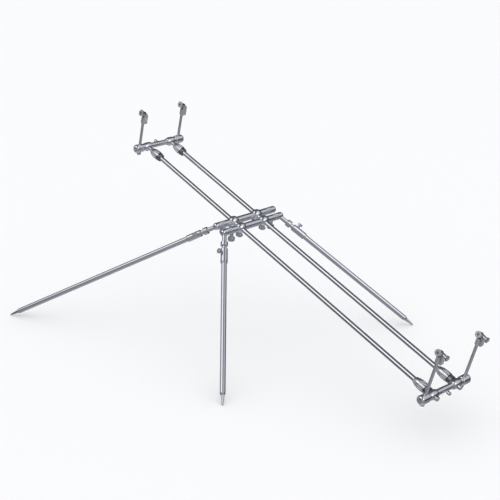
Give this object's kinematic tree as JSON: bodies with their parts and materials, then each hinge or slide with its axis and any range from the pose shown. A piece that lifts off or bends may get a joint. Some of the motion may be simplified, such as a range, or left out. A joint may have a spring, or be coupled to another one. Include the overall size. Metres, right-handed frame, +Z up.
{
  "type": "rod pod",
  "caption": "Polished steel fishing rod pod: two long tubes on a hub with three telescopic spiked legs and a buzz bar with two threaded alarm heads at each end",
  "frame": {"origin": "the middle of the bounding box's floor, on the ground that the three spikes stand on", "axes": "Z is up, Y runs along the main tubes over the floor towards the high end, X is to the right when looking along Y"},
  "size_m": [1.0368, 1.5754, 0.689],
  "materials": {
    "polished_steel": "polished stainless steel, bright with dark reflections",
    "satin_steel": "turned stainless steel with a soft shine",
    "leg_steel": "polished stainless tube, slightly softer than the main tubes",
    "head_steel": "turned and milled stainless steel",
    "screw_steel": "turned stainless steel with a knurled or fluted grip"
  },
  "bodies": {
    "main_bars": {"left_main_tube": "polished_steel", "right_main_tube": "polished_steel", "tube_plugs": "satin_steel", "tube_ferrules": "screw_steel"},
    "high_end": {"extension_rods": "polished_steel", "high_buzz_bar": "satin_steel", "high_bar_screws": "screw_steel", "high_foot_screws": "screw_steel"},
    "low_end": {"low_buzz_bar": "satin_steel", "low_ferrules": "screw_steel", "low_bar_screws": "screw_steel", "low_foot_screws": "screw_steel"},
    "high_left_collet_nut": {"high_left_collet_nut": "satin_steel"},
    "high_right_collet_nut": {"high_right_collet_nut": "satin_steel"},
    "low_left_collet_nut": {"low_left_collet_nut": "satin_steel"},
    "low_right_collet_nut": {"low_right_collet_nut": "satin_steel"},
    "high_left_post": {"high_left_upright": "leg_steel", "high_left_head_bracket": "head_steel"},
    "high_left_alarm_socket": {"high_left_alarm_socket": "head_steel"},
    "high_left_head_screw": {"high_left_head_screw": "screw_steel"},
    "high_right_post": {"high_right_upright": "leg_steel", "high_right_head_bracket": "head_steel"},
    "high_right_alarm_socket": {"high_right_alarm_socket": "head_steel"},
    "high_right_head_screw": {"high_right_head_screw": "screw_steel"},
    "low_left_post": {"low_left_upright": "leg_steel", "low_left_head_bracket": "head_steel"},
    "low_left_alarm_socket": {"low_left_alarm_socket": "head_steel"},
    "low_left_head_screw": {"low_left_head_screw": "screw_steel"},
    "low_right_post": {"low_right_upright": "leg_steel", "low_right_head_bracket": "head_steel"},
    "low_right_alarm_socket": {"low_right_alarm_socket": "head_steel"},
    "low_right_head_screw": {"low_right_head_screw": "screw_steel"},
    "high_hub": {"high_hub_bar": "satin_steel"},
    "high_left_clamp_screw": {"high_left_clamp_screw": "screw_steel"},
    "high_right_clamp_screw": {"high_right_clamp_screw": "screw_steel"},
    "low_hub": {"low_hub_bar": "satin_steel"},
    "low_left_clamp_screw": {"low_left_clamp_screw": "screw_steel"},
    "low_right_clamp_screw": {"low_right_clamp_screw": "screw_steel"},
    "long_leg_knuckle": {"long_leg_knuckle": "satin_steel", "long_leg_rod": "leg_steel"},
    "long_leg_lock_knob": {"long_leg_lock_knob": "screw_steel"},
    "long_leg_tube": {"long_leg_tube": "leg_steel", "long_leg_spike": "screw_steel"},
    "long_leg_screw": {"long_leg_screw": "screw_steel"},
    "spare_knuckle": {"spare_knuckle": "satin_steel"},
    "spare_lock_knob": {"spare_lock_knob": "screw_steel"},
    "left_leg_knuckle": {"left_leg_knuckle": "satin_steel", "left_leg_rod": "leg_steel"},
    "left_leg_lock_knob": {"left_leg_lock_knob": "screw_steel"},
    "left_leg_tube": {"left_leg_tube": "leg_steel", "left_leg_spike": "screw_steel"},
    "left_leg_screw": {"left_leg_screw": "screw_steel"},
    "right_leg_knuckle": {"right_leg_knuckle": "satin_steel", "right_leg_rod": "leg_steel"},
    "right_leg_lock_knob": {"right_leg_lock_knob": "screw_steel"},
    "right_leg_tube": {"right_leg_tube": "leg_steel", "right_leg_spike": "screw_steel"},
    "right_leg_screw": {"right_leg_screw": "screw_steel"}
  },
  "joints": [
    {"name": "high_end_slide", "type": "slide", "parent": "main_bars", "child": "high_end", "axis": [0, 0.9592, 0.2828], "range_m": [-0.012, 0.15]},
    {"name": "low_end_slide", "type": "slide", "parent": "main_bars", "child": "low_end", "axis": [0, 0.9592, 0.2828], "range_m": [0, 0.15]},
    {"name": "high_left_collet_nut_turn", "type": "hinge", "parent": "main_bars", "child": "high_left_collet_nut", "pos_m": [0.04449, 0.64467, 0.52115], "axis": [0, 0.9592, 0.2828], "continuous": true},
    {"name": "high_right_collet_nut_turn", "type": "hinge", "parent": "main_bars", "child": "high_right_collet_nut", "pos_m": [0.14449, 0.64467, 0.52115], "axis": [0, 0.9592, 0.2828], "continuous": true},
    {"name": "low_left_collet_nut_turn", "type": "hinge", "parent": "low_end", "child": "low_left_collet_nut", "pos_m": [0.04449, -0.66125, 0.13612], "axis": [0, 0.9592, 0.2828], "continuous": true},
    {"name": "low_right_collet_nut_turn", "type": "hinge", "parent": "low_end", "child": "low_right_collet_nut", "pos_m": [0.14449, -0.66125, 0.13612], "axis": [0, 0.9592, 0.2828], "continuous": true},
    {"name": "high_left_post_turn", "type": "hinge", "parent": "high_end", "child": "high_left_post", "pos_m": [0.00929, 0.69791, 0.53685], "axis": [0, -0.2828, 0.9592], "continuous": true},
    {"name": "high_left_alarm_socket_tilt", "type": "hinge", "parent": "high_left_post", "child": "high_left_alarm_socket", "pos_m": [0.00929, 0.65803, 0.67209], "axis": [0, 0.9592, 0.2828], "range_deg": [-20, 140]},
    {"name": "high_left_head_screw_turn", "type": "hinge", "parent": "high_left_post", "child": "high_left_head_screw", "pos_m": [0.00929, 0.65803, 0.67209], "axis": [0, 0.9592, 0.2828], "continuous": true},
    {"name": "high_right_post_turn", "type": "hinge", "parent": "high_end", "child": "high_right_post", "pos_m": [0.17969, 0.69791, 0.53685], "axis": [0, -0.2828, 0.9592], "continuous": true},
    {"name": "high_right_alarm_socket_tilt", "type": "hinge", "parent": "high_right_post", "child": "high_right_alarm_socket", "pos_m": [0.17969, 0.65803, 0.67209], "axis": [0, 0.9592, 0.2828], "range_deg": [-20, 140]},
    {"name": "high_right_head_screw_turn", "type": "hinge", "parent": "high_right_post", "child": "high_right_head_screw", "pos_m": [0.17969, 0.65803, 0.67209], "axis": [0, 0.9592, 0.2828], "continuous": true},
    {"name": "low_left_post_turn", "type": "hinge", "parent": "low_end", "child": "low_left_post", "pos_m": [0.00929, -0.70921, 0.12198], "axis": [0, -0.2828, 0.9592], "continuous": true},
    {"name": "low_left_alarm_socket_tilt", "type": "hinge", "parent": "low_left_post", "child": "low_left_alarm_socket", "pos_m": [0.00929, -0.75841, 0.28888], "axis": [0, 0.9592, 0.2828], "range_deg": [-20, 140]},
    {"name": "low_left_head_screw_turn", "type": "hinge", "parent": "low_left_post", "child": "low_left_head_screw", "pos_m": [0.00929, -0.75841, 0.28888], "axis": [0, 0.9592, 0.2828], "continuous": true},
    {"name": "low_right_post_turn", "type": "hinge", "parent": "low_end", "child": "low_right_post", "pos_m": [0.17969, -0.70921, 0.12198], "axis": [0, -0.2828, 0.9592], "continuous": true},
    {"name": "low_right_alarm_socket_tilt", "type": "hinge", "parent": "low_right_post", "child": "low_right_alarm_socket", "pos_m": [0.17969, -0.75841, 0.28888], "axis": [0, 0.9592, 0.2828], "range_deg": [-20, 140]},
    {"name": "low_right_head_screw_turn", "type": "hinge", "parent": "low_right_post", "child": "low_right_head_screw", "pos_m": [0.17969, -0.75841, 0.28888], "axis": [0, 0.9592, 0.2828], "continuous": true},
    {"name": "high_hub_slide", "type": "slide", "parent": "main_bars", "child": "high_hub", "axis": [0, 0.9592, 0.2828], "range_m": [0, 0.25]},
    {"name": "high_left_clamp_screw_turn", "type": "hinge", "parent": "high_hub", "child": "high_left_clamp_screw", "pos_m": [0.04449, 0.20954, 0.36158], "axis": [0, -0.2828, 0.9592], "continuous": true},
    {"name": "high_right_clamp_screw_turn", "type": "hinge", "parent": "high_hub", "child": "high_right_clamp_screw", "pos_m": [0.14449, 0.20954, 0.36158], "axis": [0, -0.2828, 0.9592], "continuous": true},
    {"name": "low_hub_slide", "type": "slide", "parent": "main_bars", "child": "low_hub", "axis": [0, 0.9592, 0.2828], "range_m": [-0.35, 0]},
    {"name": "low_left_clamp_screw_turn", "type": "hinge", "parent": "low_hub", "child": "low_left_clamp_screw", "pos_m": [0.04449, 0.17117, 0.35027], "axis": [0, -0.2828, 0.9592], "continuous": true},
    {"name": "low_right_clamp_screw_turn", "type": "hinge", "parent": "low_hub", "child": "low_right_clamp_screw", "pos_m": [0.14449, 0.17117, 0.35027], "axis": [0, -0.2828, 0.9592], "continuous": true},
    {"name": "long_leg_swing", "type": "hinge", "parent": "high_hub", "child": "long_leg_knuckle", "pos_m": [-0.02481, 0.20105, 0.39036], "axis": [1, 0, 0], "range_deg": [-30, 45]},
    {"name": "long_leg_lock_knob_turn", "type": "hinge", "parent": "high_hub", "child": "long_leg_lock_knob", "pos_m": [0.00849, 0.2125, 0.36263], "axis": [0, 0.3815, -0.9244], "continuous": true},
    {"name": "long_leg_slide", "type": "slide", "parent": "long_leg_knuckle", "child": "long_leg_tube", "axis": [-0.5736, 0.6825, -0.453], "range_m": [-0.008, 0.1]},
    {"name": "long_leg_screw_turn", "type": "hinge", "parent": "long_leg_tube", "child": "long_leg_screw", "pos_m": [-0.06897, 0.25361, 0.35548], "axis": [-0.8192, -0.4779, 0.3172], "continuous": true},
    {"name": "spare_swing", "type": "hinge", "parent": "high_hub", "child": "spare_knuckle", "pos_m": [0.21379, 0.20105, 0.39036], "axis": [1, 0, 0], "range_deg": [-30, 45]},
    {"name": "spare_lock_knob_turn", "type": "hinge", "parent": "high_hub", "child": "spare_lock_knob", "pos_m": [0.18049, 0.2125, 0.36263], "axis": [0, 0.3815, -0.9244], "continuous": true},
    {"name": "left_leg_swing", "type": "hinge", "parent": "low_hub", "child": "left_leg_knuckle", "pos_m": [-0.02481, 0.16269, 0.37905], "axis": [1, 0, 0], "range_deg": [-25, 50]},
    {"name": "left_leg_lock_knob_turn", "type": "hinge", "parent": "low_hub", "child": "left_leg_lock_knob", "pos_m": [0.00849, 0.16812, 0.34954], "axis": [0, 0.181, -0.9835], "continuous": true},
    {"name": "left_leg_slide", "type": "slide", "parent": "left_leg_knuckle", "child": "left_leg_tube", "axis": [-0.5, -0.6013, -0.6233], "range_m": [-0.008, 0.1]},
    {"name": "left_leg_screw_turn", "type": "hinge", "parent": "left_leg_tube", "child": "left_leg_screw", "pos_m": [-0.06331, 0.11639, 0.33105], "axis": [-0.8365, 0.1491, 0.5273], "continuous": true},
    {"name": "right_leg_swing", "type": "hinge", "parent": "low_hub", "child": "right_leg_knuckle", "pos_m": [0.21379, 0.16269, 0.37905], "axis": [1, 0, 0], "range_deg": [-25, 50]},
    {"name": "right_leg_lock_knob_turn", "type": "hinge", "parent": "low_hub", "child": "right_leg_lock_knob", "pos_m": [0.18049, 0.16812, 0.34954], "axis": [0, 0.181, -0.9835], "continuous": true},
    {"name": "right_leg_slide", "type": "slide", "parent": "right_leg_knuckle", "child": "right_leg_tube", "axis": [0.5, -0.6013, -0.6233], "range_m": [-0.008, 0.1]},
    {"name": "right_leg_screw_turn", "type": "hinge", "parent": "right_leg_tube", "child": "right_leg_screw", "pos_m": [0.25229, 0.11639, 0.33105], "axis": [0.6824, -0.1695, 0.711], "continuous": true}
  ]
}
